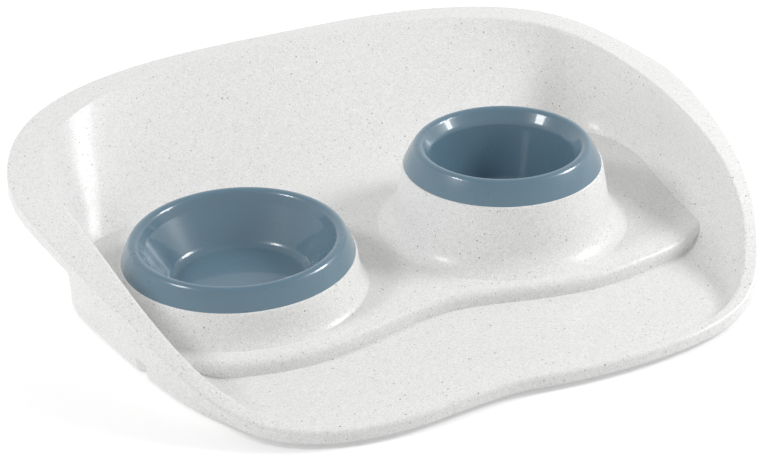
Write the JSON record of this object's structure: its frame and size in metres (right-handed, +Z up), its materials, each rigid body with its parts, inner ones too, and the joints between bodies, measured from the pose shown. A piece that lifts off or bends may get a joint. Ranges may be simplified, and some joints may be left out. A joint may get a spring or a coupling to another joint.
{
  "type": "double pet bowl",
  "caption": "Pet feeding tray with a high splash wall at the back and sides, a low front catch floor, and a wide food bowl and a deep water bowl that lift out of raised pedestals.",
  "frame": {"origin": "middle of the tray's width and of its depth, on the surface that the pads stand on", "axes": "+Z up, +X to the right seen from the low front, +Y from the front to the back wall"},
  "size_m": [0.4602, 0.3881, 0.0835],
  "materials": {
    "tray_plastic": "satin off-white with fine grey speckles",
    "bowl_plastic": "glossy blue-grey",
    "foot_rubber": "matt grey rubber"
  },
  "bodies": {
    "tray": {"tray": "tray_plastic", "foot_front_left": "foot_rubber", "foot_front_right": "foot_rubber", "foot_rear_left": "foot_rubber", "foot_rear_right": "foot_rubber"},
    "food_bowl": {"food_bowl": "bowl_plastic"},
    "water_bowl": {"water_bowl": "bowl_plastic"}
  },
  "joints": [
    {"name": "food_bowl_lift", "type": "slide", "parent": "tray", "child": "food_bowl", "axis": [0, 0, 1], "range_m": [0, 0.1]},
    {"name": "water_bowl_lift", "type": "slide", "parent": "tray", "child": "water_bowl", "axis": [0, 0, 1], "range_m": [0, 0.13]}
  ]
}
